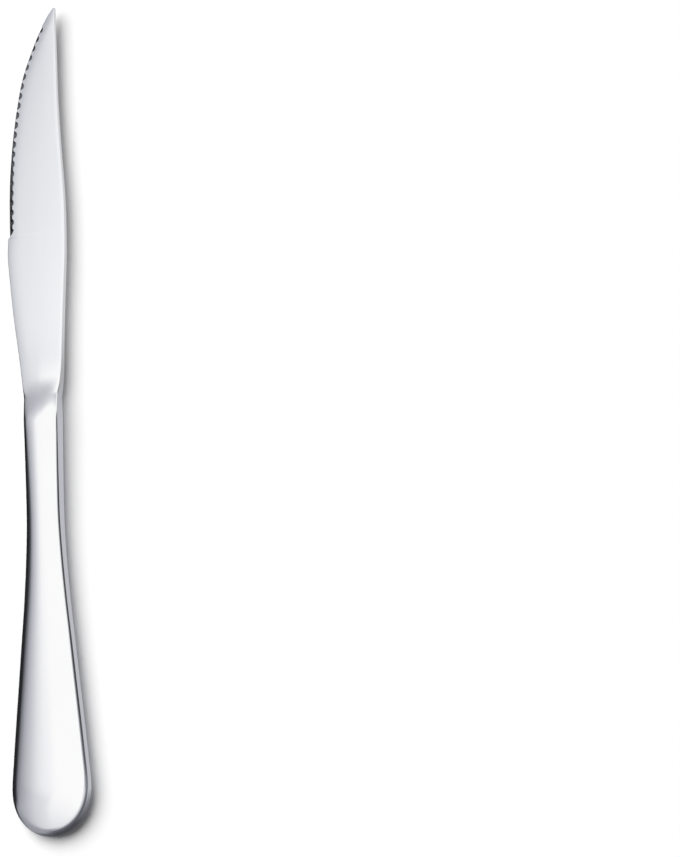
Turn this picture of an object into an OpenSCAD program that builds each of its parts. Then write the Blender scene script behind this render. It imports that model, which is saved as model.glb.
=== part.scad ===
// Steak knife with a hollow handle: a forged blade whose notched tang is bonded
// with cement between two pressed half shells.
// +Y runs to the tip and +Z out of the front face. The knife lies on its back,
// and the origin is under the middle of its box.

/* [Blade] */
// Length from the handle's mouth to the tip
blade_len = 111.7; // [95:0.1:125]
// Height of the spine over the handle's axis where the blade is widest
spine_rise = 7.8; // [6.6:0.1:9]
// Depth of the heel under the handle's axis
heel_drop = 9; // [8.2:0.1:11]
// Height of the tip over the handle's axis
tip_rise = 6.3; // [4.5:0.1:6.6]
// Radius that rounds the tip
tip_round = 0.4; // [0.2:0.05:0.7]
// Thickness of the spine at the handle's mouth
spine_t = 2.6; // [2.2:0.1:3]
// Thickness of the spine at the tip
tip_t = 1.1; // [0.9:0.1:1.4]
// Thickness of the heel's edge where the blade is widest
heel_t = 0.6; // [0.5:0.05:0.8]

/* [Teeth] */
// Distance from one scallop to the next along the edge
tooth_pitch = 2.8; // [2.8:0.1:4]
// Width on the blade's face of the scallop next to the heel
tooth_w = 2.5; // [2.1:0.1:2.7]
// Width on the blade's face of the scallop next to the tip
tip_tooth_w = 2.1; // [1.8:0.1:2.5]
// Slope of a scallop's floor against the blade's face, in degrees
tooth_tilt = 37; // [31:1:45]
// Depth that a scallop's floor passes under the back face at the edge
tooth_bite = 0.1; // [0.05:0.01:0.2]
// Plain edge between the tip and the first scallop
tip_plain = 4.4; // [3:0.1:8]
// Step from the toothed edge out to the deepest place of the heel
heel_step = 0.6; // [0.3:0.05:1]

/* [Handle] */
// Length from the mouth to the butt
handle_len = 123.2; // [105:0.1:140]
// Length of the butt's rounded end
butt_end = 13.4; // [9:0.1:16]
// Width of the neck at the mouth
neck_w = 10; // [9.2:0.1:11.5]
// Width of the handle just before its rounded end
butt_w = 22.1; // [18:0.1:26]
// Thickness of the neck
neck_t = 6.8; // [6.2:0.1:8]
// Thickness of the handle at the butt
butt_t = 5.7; // [5.5:0.1:6.4]
// Bulge of each face at the neck
neck_crown = 0.5; // [0.3:0.05:1]
// Bulge of each face at the butt
butt_crown = 0.8; // [0.4:0.05:0.9]
// Radius of the long edges at the mouth
neck_round = 0.7; // [0.5:0.05:1]
// Radius of the long edges at the butt
butt_round = 1.9; // [1.4:0.05:1.95]
// Wall of the pressed shells
wall_t = 0.9; // [0.7:0.05:1]
// Radius of the corners inside the shells
inner_round = 0.8; // [0.5:0.05:1]
// Length over which the shells' faces fall towards the mouth
mouth_len = 5; // [4:0.1:7]
// Depth of that fall at the mouth, on each face
mouth_fall = 0.65; // [0.4:0.05:0.8]

/* [Ramp] */
// Length of the ramp from the mouth down to the blade's face
ramp_len = 5.6; // [5:0.1:9]
// Length over which the blade swells gently before the ramp
swell_len = 24; // [16:0.5:30]
// Height of that gentle swelling at the mouth, on each face
swell_h = 0.9; // [0.6:0.1:1.2]
// Radius of the blade's edges at the foot of the ramp
foot_round = 0.3; // [0.15:0.05:0.4]

/* [Tang] */
// Length of the spigot that fits the shells' mouth
spigot_len = 3; // [2:0.1:6]
// Clearance round the spigot
spigot_gap = 0.05; // [0.03:0.01:0.15]
// Length of the tang from the mouth
tang_len = 46; // [30:0.5:70]
// Width of the tang
tang_w = 5.2; // [4.4:0.1:6]
// Thickness of the tang
tang_t = 2.2; // [1.8:0.1:2.6]
// Radius of the tang's locking notches
notch_r = 1; // [0.6:0.1:1.3]
// Distance from one notch to the next
notch_pitch = 9; // [6:0.5:14]
// Cement beyond the tang's end
cement_cover = 4; // [2:0.5:12]
// Shrinkage gap between the cement and the shells
cement_gap = 0.05; // [0.03:0.01:0.15]

/* [Hidden] */

// Share along the blade, and share of the way from the neck out to the heel
heel_shares = [[0, 0], [0.067, 0.18], [0.143, 0.431], [0.22, 0.682], [0.297, 0.862], [0.373, 1], [0.417, 0.94]];
// Share along the blade, and share of the way from the tip's level to the toothed edge
edge_shares = [[0.422, 1], [0.49, 0.996], [0.57, 0.973], [0.66, 0.908], [0.75, 0.805], [0.83, 0.672],
    [0.913, 0.432], [0.953, 0.284], [0.984, 0.138]];
// Share along the blade, and share of the way from the neck up to the spine's top
rise_shares = [[0, 0], [0.03, 0.2], [0.066, 0.347], [0.143, 0.482], [0.256, 0.71], [0.36, 0.938], [0.448, 1]];
// Share along the blade, and share of the way from the spine's top down to the tip's level
fall_shares = [[0.511, 0.064], [0.58, 0.3], [0.66, 0.62], [0.765, 0.9], [0.88, 0.97]];
// Share along the handle, and share of the way from the neck's width to the widest place
swell_shares = [[0, 0], [0.2, -0.005], [0.29, 0.012], [0.38, 0.103], [0.47, 0.24], [0.56, 0.412], [0.65, 0.58],
    [0.74, 0.752], [0.83, 0.914]];
// Share along the handle, and share of the way from the neck's thickness and bulge to the butt's
slim_shares = [[0, 0], [0.12, 0.28], [0.25, 0.6], [0.45, 0.93], [0.8, 1], [1, 1]];
// Share along the handle, and share of the way from the mouth's rounded edges to the butt's
soft_shares = [[0, 0], [0.09, 0.5], [0.25, 0.8], [0.45, 0.96], [0.8, 1], [1, 1]];

// Place on the blade where it is widest, as a share of its length
widest_share = 0.373;
// Power of the curve that bulges the faces, and of the butt's rounded outline
crown_power = 2.5;
butt_power = 2.1;
// Power that crowds the sections towards the mouth, along the handle and along the ramp
side_power = 1.5;
ramp_power = 2;

// Steps along the handle's side, round the butt, across a rounded edge and over a face
side_steps = 30;
butt_steps = 36;
round_steps = 5;
face_steps = 5;
// Steps along the blade's edge, heel and spine, and round the tip
edge_steps = 44;
heel_steps = 16;
spine_steps = 26;
tip_steps = 4;
// Steps along the ramp and along the cement
ramp_steps = 18;
cement_steps = 12;
fine = 48;

// Depth by which the ramp's foot lies inside the blade, and how far it runs on there
foot_sink = 0.08;
foot_run = 1.5;
// Amount by which cutting bodies pass what they cut
overrun = 2;

neck_r = neck_w / 2;
butt_r = butt_w / 2;
edge_drop = heel_drop - heel_step;
butt_y = butt_end - handle_len;
foot_y = max(swell_len, ramp_len);
width_max = max(butt_w, butt_r + spine_rise, heel_drop + spine_rise, heel_drop + butt_r);

// Thickness lost per length towards the tip and per width towards the edge
fall = (spine_t - tip_t) / blade_len;
grind = (spine_t - fall * widest_share * blade_len - heel_t) / (spine_rise + heel_drop);
function blade_t(x, y) = spine_t - fall * y - grind * (spine_rise - x);

// Smooth curve through a table of places and values
function mix(a, b, share) = a + (b - a) * share;
function row_at(table, place, i = 0) =
    i >= len(table) - 2 || place <= table[i + 1][0] ? i : row_at(table, place, i + 1);
function slope_at(table, i) =
    let (low = max(i - 1, 0), high = min(i + 1, len(table) - 1))
    (table[high][1] - table[low][1]) / (table[high][0] - table[low][0]);
function curve(table, place) =
    let (
        i = row_at(table, place),
        gap = table[i + 1][0] - table[i][0],
        u = (place - table[i][0]) / gap,
        start = table[i][1],
        end = table[i + 1][1]
    )
    start * (1 + 2 * u) * pow(1 - u, 2) + end * u * u * (3 - 2 * u)
    + gap * u * (1 - u) * (slope_at(table, i) * (1 - u) - slope_at(table, i + 1) * u);

// The blade's outline: lines hold the place along +Y and then the place along +X
tip_turn = 135;
tip_centre = [tip_rise - tip_round, blade_len - tip_round];
function tip_point(turn) = tip_centre + tip_round * [cos(turn), sin(turn)];
edge_line = concat(
    [for (row = edge_shares) [row[0] * blade_len, mix(tip_rise, -edge_drop, row[1])]],
    [[tip_point(tip_turn)[1], tip_point(tip_turn)[0]]]
);
heel_line = [for (row = heel_shares) [row[0] * blade_len, mix(-neck_r, -heel_drop, row[1])]];
spine_line = concat(
    [for (row = rise_shares) [row[0] * blade_len, mix(neck_r, spine_rise, row[1])]],
    [for (row = fall_shares) [row[0] * blade_len, mix(spine_rise, tip_rise, row[1])]],
    [[tip_centre[1], tip_rise]]
);
function last_place(line) = line[len(line) - 1][0];
function trace(line, start, end, steps) =
    [for (k = [0 : steps]) let (y = mix(start, end, k / steps)) [curve(line, y), y]];
edge_points = trace(edge_line, last_place(edge_line), edge_line[0][0], edge_steps);

// Places of the scallops, walked along the toothed edge from the heel
function walk(points, distance, i = 0) =
    let (a = points[i], b = points[i + 1], part = norm(b - a))
    distance <= part || i >= len(points) - 2
        ? [a + (b - a) * distance / part, atan2(b[1] - a[1], b[0] - a[0])]
        : walk(points, distance - part, i + 1);
edge_back = [for (k = [edge_steps : -1 : 0]) edge_points[k]];
function run_length(points, i = 0) =
    i >= len(points) - 1 ? 0 : norm(points[i + 1] - points[i]) + run_length(points, i + 1);
tooth_count = floor((run_length(edge_back) - tip_plain) / tooth_pitch);

// Half of a section, as an inset or share of the way to the axis and a height
function lean(reach, crown, round_r, power) = atan(power * crown / (reach - round_r));
function rounded_edge(reach, top, crown, round_r, power) =
    let (tilt = lean(reach, crown, round_r, power), low = top - crown - round_r * cos(tilt))
    concat(
        [[0, 0]],
        [for (k = [0 : round_steps])
            let (turn = mix(90, tilt, k / round_steps))
            [round_r * (1 - sin(turn)), low + round_r * cos(turn)]]
    );
function crowned_face(top, crown, power) =
    [for (k = [1 : face_steps])
        let (share = k / face_steps)
        [share, top - crown * pow(1 - share, power)]];

// Points from the outline up and over to the axis, between a foot point and the axis point
function half_section(foot, inward, axis, top, crown, round_r, power) =
    let (
        reach = norm(axis - foot),
        bend = rounded_edge(reach, top, crown, round_r, power),
        turned = foot + inward * bend[len(bend) - 1][0]
    )
    concat(
        [for (row = bend) concat(foot + inward * row[0], [row[1]])],
        [for (row = crowned_face(top, crown, power)) concat(mix(turned, axis, row[0]), [row[1]])]
    );
rows = round_steps + 2 + face_steps;

// Sizes of the handle's section at a place behind the mouth, where the faces fall a little
function slim(y) = curve(slim_shares, -y / handle_len);
function ebb(place, length) = pow(1 - min(place / length, 1), 2);
function handle_top(y) = mix(neck_t, butt_t, slim(y)) / 2 - mouth_fall * ebb(-y, mouth_len);
function handle_crown(y) = mix(neck_crown, butt_crown, slim(y));
function handle_round(y) = mix(neck_round, butt_round, curve(soft_shares, -y / handle_len));
swell_line = let (
        body = [for (row = swell_shares) [row[0] * handle_len, mix(neck_r, butt_r, row[1])]],
        last = body[len(body) - 1]
    )
    concat(body, [[-butt_y, butt_r], [-2 * butt_y - last[0], last[1]]]);
function handle_r(y) = curve(swell_line, -y);

// Section of the handle or of its hollow: side is -1 at the left and 1 at the right
function side_section(side, y, skin) =
    half_section([side * (handle_r(y) - skin), y], [-side, 0], [0, y], handle_top(y) - skin,
        handle_crown(y), skin > 0 ? inner_round : handle_round(y), crown_power);
function butt_section(turn, skin) =
    let (
        across = -cos(turn),
        down = sin(turn),
        rim = [
            butt_r * sign(across) * pow(abs(across), 2 / butt_power),
            butt_y - butt_end * pow(abs(down), 2 / butt_power)
        ],
        pull = [
            -sign(across) * pow(abs(across), 2 - 2 / butt_power) / butt_r,
            pow(abs(down), 2 - 2 / butt_power) / butt_end
        ],
        inward = pull / norm(pull)
    )
    half_section(rim + inward * skin, inward, [0, butt_y], handle_top(rim[1]) - skin,
        handle_crown(rim[1]), skin > 0 ? inner_round : handle_round(rim[1]), crown_power);

// Sections all round the handle, from the mouth along the left side, the butt and the right side
function round_sections(skin) = concat(
    [for (k = [0 : side_steps]) side_section(-1, butt_y * pow(k / side_steps, side_power), skin)],
    [for (k = [1 : butt_steps - 1]) butt_section(180 * k / butt_steps, skin)],
    [for (k = [side_steps : -1 : 0]) side_section(1, butt_y * pow(k / side_steps, side_power), skin)]
);
section_count = 2 * (side_steps + 1) + butt_steps - 1;

// Index of a point of the round sections: the last row is shared along the axis
function shell_index(i, j) =
    j < rows - 1 ? i * (rows - 1) + j
        : section_count * (rows - 1) + min(i, section_count - 1 - i, side_steps);
function shell_points(skin) =
    let (sections = round_sections(skin))
    concat(
        [for (section = sections, j = [0 : rows - 2]) section[j]],
        [for (k = [0 : side_steps]) sections[k][rows - 1]]
    );
shell_size = section_count * (rows - 1) + side_steps + 1;
function quads_to_faces(quads) =
    [for (quad = quads, half = [[0, 1, 2], [0, 2, 3]])
        let (face = [for (k = half) quad[k]])
        if (face[0] != face[1] && face[1] != face[2] && face[2] != face[0]) face];

module half_shell() {
    outer_quads = [for (i = [0 : section_count - 2], j = [0 : rows - 2])
        [shell_index(i, j), shell_index(i, j + 1), shell_index(i + 1, j + 1), shell_index(i + 1, j)]];
    inner_quads = [for (i = [0 : section_count - 2], j = [0 : rows - 2])
        shell_size * [1, 1, 1, 1]
        + [shell_index(i, j), shell_index(i + 1, j), shell_index(i + 1, j + 1), shell_index(i, j + 1)]];
    rim_quads = [for (i = [0 : section_count - 2])
        [shell_index(i, 0), shell_index(i + 1, 0), shell_size + shell_index(i + 1, 0),
            shell_size + shell_index(i, 0)]];
    last = section_count - 1;
    mouth_quads = concat(
        [for (j = [0 : rows - 2])
            [shell_index(0, j), shell_size + shell_index(0, j), shell_size + shell_index(0, j + 1),
                shell_index(0, j + 1)]],
        [for (j = [0 : rows - 2])
            [shell_index(last, j + 1), shell_size + shell_index(last, j + 1),
                shell_size + shell_index(last, j), shell_index(last, j)]]
    );
    polyhedron(
        points = concat(shell_points(0), shell_points(wall_t)),
        faces = quads_to_faces(concat(outer_quads, inner_quads, rim_quads, mouth_quads))
    );
}

// Closed ring of points over the front and back of a left and a right half section,
// without the points halfway up the two side walls
function ring(left, right) =
    let (
        front = concat([for (j = [1 : rows - 1]) left[j]], [for (j = [rows - 2 : -1 : 1]) right[j]]),
        back = [for (k = [len(front) - 1 : -1 : 0]) [front[k][0], front[k][1], -front[k][2]]]
    )
    concat(front, back);
ring_size = 4 * rows - 6;
module skin_rings(rings) {
    last = (len(rings) - 1) * ring_size;
    side_quads = [for (i = [0 : len(rings) - 2], j = [0 : ring_size - 1])
        let (next = (j + 1) % ring_size)
        [i * ring_size + j, i * ring_size + next, (i + 1) * ring_size + next, (i + 1) * ring_size + j]];
    polyhedron(
        points = [for (each_ring = rings) each each_ring],
        faces = concat(
            quads_to_faces(side_quads),
            [[for (j = [ring_size - 1 : -1 : 0]) j]],
            [[for (j = [0 : ring_size - 1]) last + j]]
        )
    );
}

// The ramp's section between the mouth and its foot inside the blade: a gentle
// swelling of the blade, and on it the short ramp up to the neck
mouth_top = handle_top(0);
swell_share = swell_h / (mouth_top - spine_t / 2);
function ramp_section(line, side, y) =
    let (
        full = swell_share * ebb(y, swell_len) + (1 - swell_share) * ebb(y, ramp_len),
        sink = foot_sink * (1 - full),
        wide = abs(curve(line, y)) - foot_sink * y / (foot_y + foot_run),
        middle = mix(blade_t(0, y) / 2 - sink, mouth_top, full),
        low = mix(blade_t(side * wide, y) / 2 - sink, mouth_top - neck_crown, full)
    )
    half_section([side * wide, y], [-side, 0], [0, y], middle, middle - low,
        mix(foot_round, neck_round, full), mix(1, crown_power, full));
function handle_ring(y, skin) = ring(side_section(-1, y, skin), side_section(1, y, skin));

module ramp_and_spigot() {
    ramp_rings = [for (k = [ramp_steps : -1 : 0])
        let (y = (foot_y + foot_run) * pow(k / ramp_steps, ramp_power))
        ring(ramp_section(heel_line, -1, y), ramp_section(spine_line, 1, y))];
    spigot_skin = wall_t + spigot_gap;
    spigot_rings = [for (y = [0, -spigot_len])
        [for (point = handle_ring(0, spigot_skin)) [point[0], y, point[2]]]];
    skin_rings(concat(ramp_rings, spigot_rings));
}

// Flat of the blade, narrowed a little where it lies inside the ramp
function slim_in_ramp(points) =
    [for (point = points)
        point - [sign(point[0]) * 2 * foot_sink * max(1 - point[1] / foot_y, 0), 0]];
module blade_outline() {
    start = ramp_len / 2;
    polygon(concat(
        slim_in_ramp(trace(spine_line, start, last_place(spine_line), spine_steps)),
        [for (k = [1 : tip_steps - 1]) tip_point(tip_turn * k / tip_steps)],
        edge_points,
        slim_in_ramp(trace(heel_line, last_place(heel_line), start, heel_steps))
    ));
}

module under_front_face() {
    turn_y = -atan(grind / 2);
    turn_x = -atan(fall / 2 * cos(turn_y));
    reach = blade_len + width_max;
    translate([spine_rise, 0, spine_t / 2])
        rotate([turn_x, turn_y, 0])
        translate([-reach, -reach, -2 * spine_t])
        cube([2 * reach, 2 * reach, 2 * spine_t]);
}

// One round groove per scallop, which runs out over the edge. Its wheel is as
// large as the scallop's width and the blade's thickness there ask for.
module scallops() {
    for (k = [0 : tooth_count - 1]) {
        place = walk(edge_back, tooth_pitch * (k + 1 / 2));
        edge_t = blade_t(place[0][0], place[0][1]);
        depth = (edge_t + tooth_bite) * cos(tooth_tilt);
        half_w = mix(tooth_w, tip_tooth_w, k / (tooth_count - 1)) / 2;
        wheel_r = (half_w * half_w + depth * depth) / (2 * depth);
        translate([place[0][0], place[0][1], -edge_t / 2 - tooth_bite])
            rotate([0, 0, place[1] + 90])
            translate([wheel_r * sin(tooth_tilt), 0, wheel_r * cos(tooth_tilt)])
            rotate([0, tooth_tilt - 90, 0])
            cylinder(h = 2 * (wheel_r + overrun), r = wheel_r, center = true, $fn = fine);
    }
}

module flat_blade() {
    difference() {
        intersection() {
            linear_extrude(height = 2 * spine_t, center = true) blade_outline();
            under_front_face();
            mirror([0, 0, 1]) under_front_face();
        }
        scallops();
    }
}

// Tang with staggered round notches, and a hollow of the same outline for the cement
module tang() {
    root = spigot_len / 2;
    straight = tang_len - tang_w / 2;
    notch_count = floor((straight - spigot_len - notch_pitch / 2) / notch_pitch);
    linear_extrude(height = tang_t, center = true)
        difference() {
            union() {
                translate([-tang_w / 2, -straight]) square([tang_w, straight - root]);
                translate([0, -straight]) circle(d = tang_w, $fn = fine);
            }
            for (k = [0 : notch_count - 1]) {
                side = k % 2 == 0 ? 1 : -1;
                translate([side * tang_w / 2, -spigot_len - notch_pitch * (k + 1 / 2)])
                    circle(r = notch_r, $fn = fine);
            }
        }
}

// Moves the knife so that the origin lies under the middle of its box
module lay_down() {
    low_x = -max(butt_r, heel_drop);
    high_x = max(butt_r, spine_rise);
    translate([-(low_x + high_x) / 2, (handle_len - blade_len) / 2, neck_t / 2]) children();
}

module blade() {
    color([0.86, 0.87, 0.89])
        lay_down() {
            flat_blade();
            ramp_and_spigot();
            tang();
        }
}

module handle_front_shell() {
    color([0.8, 0.81, 0.84]) lay_down() half_shell();
}

module handle_back_shell() {
    color([0.72, 0.73, 0.77]) lay_down() mirror([0, 0, 1]) half_shell();
}

module tang_cement() {
    near = spigot_len + cement_gap;
    far = tang_len + cement_cover;
    skin = wall_t + cement_gap;
    color([0.62, 0.6, 0.56])
        lay_down()
        difference() {
            skin_rings([for (k = [0 : cement_steps]) handle_ring(-mix(near, far, k / cement_steps), skin)]);
            tang();
        }
}

blade();
handle_front_shell();
handle_back_shell();
tang_cement();
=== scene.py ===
"""Looks of the steak knife: satin blade, polished hollow handle, and the light they lie in."""

import logging
import math
from dataclasses import dataclass, field
from enum import Enum
from functools import cached_property
from typing import Any, Callable, Iterable, Sequence

import bmesh
import bpy
from mathutils import Matrix, Vector


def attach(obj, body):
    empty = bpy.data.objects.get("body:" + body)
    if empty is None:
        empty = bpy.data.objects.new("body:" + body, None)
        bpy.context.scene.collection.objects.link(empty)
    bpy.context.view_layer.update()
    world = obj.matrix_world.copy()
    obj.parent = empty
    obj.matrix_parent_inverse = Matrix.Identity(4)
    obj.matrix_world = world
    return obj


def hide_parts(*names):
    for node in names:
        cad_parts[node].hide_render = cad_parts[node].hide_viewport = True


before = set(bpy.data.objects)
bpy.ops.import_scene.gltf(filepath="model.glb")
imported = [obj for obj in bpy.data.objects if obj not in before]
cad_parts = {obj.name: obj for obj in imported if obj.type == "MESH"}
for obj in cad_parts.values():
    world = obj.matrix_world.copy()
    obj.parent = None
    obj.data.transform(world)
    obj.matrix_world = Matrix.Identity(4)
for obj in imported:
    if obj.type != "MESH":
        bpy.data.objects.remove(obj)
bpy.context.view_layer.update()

logging.basicConfig(level=logging.INFO, format="%(message)s")
LOG = logging.getLogger("steak_knife")

MM = 0.001
COLOUR_MIX = {"data_type": "RGBA", "clamp_factor": True}
COOL_DARKS = 0.16
Point = tuple[float, float, float]
Row = tuple[float, float]
Rows = tuple[Row, ...]
Section = list[Point]


# ---- plain shapes


def mix(a: float, b: float, share: float) -> float:
    """Value a share of the way from a to b."""
    return a + (b - a) * share


def spaced(start: float, end: float, gaps: int) -> list[float]:
    """Evenly spaced values from start to end, both among them."""
    return [mix(start, end, k / gaps) for k in range(gaps + 1)]


def clamp(value: float, low: float = 0.0, high: float = 1.0) -> float:
    """Value held between low and high."""
    return max(low, min(high, value))


def ebb(place: float, length: float) -> float:
    """Share that falls from 1 at the mouth, ever more gently, to 0 at the length."""
    share = clamp(place / length)
    return 1 - (15 * share - 10 * share ** 3 + 3 * share ** 5) / 8


def chord(radius: float, off: float) -> float:
    """Half of a circle's width at a distance from its middle."""
    return math.sqrt(max(radius ** 2 - off ** 2, 0))


def eased(share: float) -> float:
    """Share with a soft start and a soft end."""
    share = clamp(share)
    return share * share * (3 - 2 * share)


@dataclass(frozen=True)
class SmoothLine:
    """A smooth curve through a few places and values, the same as the part's source draws."""

    rows: Rows

    def slope(self, i: int) -> float:
        """Slope of the curve at one of its rows."""
        (p0, v0), (p1, v1) = self.rows[max(i - 1, 0)], self.rows[min(i + 1, len(self.rows) - 1)]
        return (v1 - v0) / (p1 - p0)

    def at(self, place: float) -> float:
        """Value of the curve at a place.

        Args:
            place: Where the value is wanted.

        Returns:
            The value.
        """
        i = 0
        while i < len(self.rows) - 2 and place > self.rows[i + 1][0]:
            i += 1
        (p0, v0), (p1, v1) = self.rows[i], self.rows[i + 1]
        gap = p1 - p0
        u = (place - p0) / gap
        bend = self.slope(i) * (1 - u) - self.slope(i + 1) * u
        return v0 * (1 + 2 * u) * (1 - u) ** 2 + v1 * u * u * (3 - 2 * u) + gap * u * (1 - u) * bend


def line_of(shares: Iterable[Row], length: float, start: float, end: float) -> list[Row]:
    """Rows of a curve, from shares of a length and shares of the way from start to end."""
    return [(place * length, mix(start, end, way)) for place, way in shares]


@dataclass(frozen=True)
class Edge:
    """The rounded long edge and the crowned face that follows it, as a half section."""

    round_steps: int
    face_steps: int

    @property
    def count(self) -> int:
        """Number of points on the rounded edge."""
        return self.round_steps + 1

    def bend(self, reach: float, top: float, crown: float, radius: float, power: float) -> list[Row]:
        """Points round the edge, from the side wall to the face.

        Args:
            reach: Width from the edge to the axis.
            top: Height of the face on the axis.
            crown: How far the face falls towards the edge.
            radius: Radius of the edge.
            power: Power of the crown's curve.

        Returns:
            Pairs of the inset from the edge and the height.
        """
        tilt = math.atan(power * crown / (reach - radius))
        low = top - crown - radius * math.cos(tilt)
        turns = spaced(math.pi / 2, tilt, self.round_steps)
        return [(radius * (1 - math.sin(turn)), low + radius * math.cos(turn)) for turn in turns]


# ---- mesh work


def flat(reach: float, z: float) -> list[Section]:
    """A square sheet that reaches that far in metres, at that height."""
    return [[(x / MM, y / MM, z / MM) for y in (-reach, reach)] for x in (-reach, reach)]


class Sheet:
    """Metal drawn from a grid: every grid point is moved to its place on the form."""

    def __init__(self, sections: Sequence[Section]) -> None:
        """Lays a grid over the sections.

        Args:
            sections: Rows of points in millimetres, all of one length.
        """
        self.bm = bmesh.new()
        across, along = len(sections) - 1, len(sections[0]) - 1
        bmesh.ops.create_grid(self.bm, x_segments=across, y_segments=along, size=1)
        for vert in self.bm.verts:
            i = round((vert.co.x + 1) / 2 * across)
            j = round((vert.co.y + 1) / 2 * along)
            vert.co = Vector(sections[i][j]) * MM

    def weld(self, distance: float = 2e-7) -> None:
        """Merges the points that lie on each other."""
        bmesh.ops.remove_doubles(self.bm, verts=self.bm.verts, dist=distance)
        bmesh.ops.dissolve_degenerate(self.bm, edges=self.bm.edges, dist=distance / 2)

    def face_out(self) -> None:
        """Turns the faces of the form outwards."""
        bmesh.ops.recalc_face_normals(self.bm, faces=self.bm.faces)

    def cap(self) -> None:
        """Closes the open ends."""
        bmesh.ops.holes_fill(self.bm, edges=[edge for edge in self.bm.edges if edge.is_boundary], sides=0)
        self.face_out()

    def wall(self, thickness: float) -> None:
        """Gives an open, upper skin a wall on its inside.

        Args:
            thickness: The wall in millimetres.
        """
        self.face_out()
        if sum(face.normal.z * face.calc_area() for face in self.bm.faces) < 0:
            bmesh.ops.reverse_faces(self.bm, faces=self.bm.faces)
        bmesh.ops.solidify(self.bm, geom=self.bm.faces[:], thickness=thickness * MM)
        self.face_out()

    def flip(self) -> None:
        """Makes the mirror image under the middle plane."""
        bmesh.ops.scale(self.bm, vec=Vector((1, 1, -1)), verts=self.bm.verts)
        bmesh.ops.reverse_faces(self.bm, faces=self.bm.faces)

    def smooth(self, crease: float) -> None:
        """Shades the form smoothly, with hard edges where it turns by more than the crease.

        Args:
            crease: Angle in degrees.
        """
        for face in self.bm.faces:
            face.smooth = True
        for edge in self.bm.edges:
            edge.smooth = edge.is_manifold and edge.calc_face_angle(0) < math.radians(crease)

    def piece(self, name: str) -> bpy.types.Object:
        """Makes the object of the form, at the origin.

        Args:
            name: Name of the piece.

        Returns:
            The new object.
        """
        mesh = bpy.data.meshes.new(name)
        self.bm.to_mesh(mesh)
        self.bm.free()
        made = bpy.data.objects.new(name, mesh)
        bpy.context.scene.collection.objects.link(made)
        return made


# ---- shader work


def socket_of(sockets: Any, key: Any) -> bpy.types.NodeSocket:
    """The first enabled socket of that name, or the socket with that number."""
    return next((s for s in sockets if s.name == key and s.enabled), sockets[key])


class Wire:
    """A socket that Python's operators turn into Math nodes."""

    def __init__(self, book: "NodeBook", socket: bpy.types.NodeSocket) -> None:
        """Keeps the socket and the tree that it belongs to."""
        self.book = book
        self.socket = socket

    def _math(self, operation: str, *values: Any) -> "Wire":
        """One Math node on these values."""
        inputs = dict(enumerate(values))
        return self.book.node("ShaderNodeMath", {"operation": operation}, inputs).out("Value")

    def __add__(self, other: Any) -> "Wire":
        """Sum."""
        return self._math("ADD", self, other)

    def __radd__(self, other: Any) -> "Wire":
        """Sum with a number in front."""
        return self._math("ADD", other, self)

    def __sub__(self, other: Any) -> "Wire":
        """Difference."""
        return self._math("SUBTRACT", self, other)

    def __rsub__(self, other: Any) -> "Wire":
        """Difference from a number in front."""
        return self._math("SUBTRACT", other, self)

    def __mul__(self, other: Any) -> "Wire":
        """Product."""
        return self._math("MULTIPLY", self, other)

    def __truediv__(self, other: Any) -> "Wire":
        """Quotient."""
        return self._math("DIVIDE", self, other)

    def least(self, other: Any) -> "Wire":
        """The smaller of two values."""
        return self._math("MINIMUM", self, other)

    def most(self, other: Any) -> "Wire":
        """The larger of two values."""
        return self._math("MAXIMUM", self, other)

    def angle(self, across: Any) -> "Wire":
        """Angle in radians of the direction that has this value up and the other across."""
        return self._math("ARCTAN2", self, across)

    def clamped(self) -> "Wire":
        """The value held between 0 and 1."""
        return self.book.node("ShaderNodeClamp", {}, {"Value": self}).out("Result")

    def ramped(self, low: float, high: float) -> "Wire":
        """A smooth step from 0 at low to 1 at high."""
        inputs = {"Value": self, "From Min": low, "From Max": high}
        return self.book.node("ShaderNodeMapRange", {"interpolation_type": "SMOOTHSTEP"}, inputs).out("Result")


class Made:
    """A node whose outputs are read by name."""

    def __init__(self, book: "NodeBook", node: bpy.types.Node) -> None:
        """Keeps the node and its tree."""
        self.book = book
        self.node = node

    def out(self, key: Any) -> Wire:
        """The output of that name or number."""
        return Wire(self.book, socket_of(self.node.outputs, key))


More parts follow.
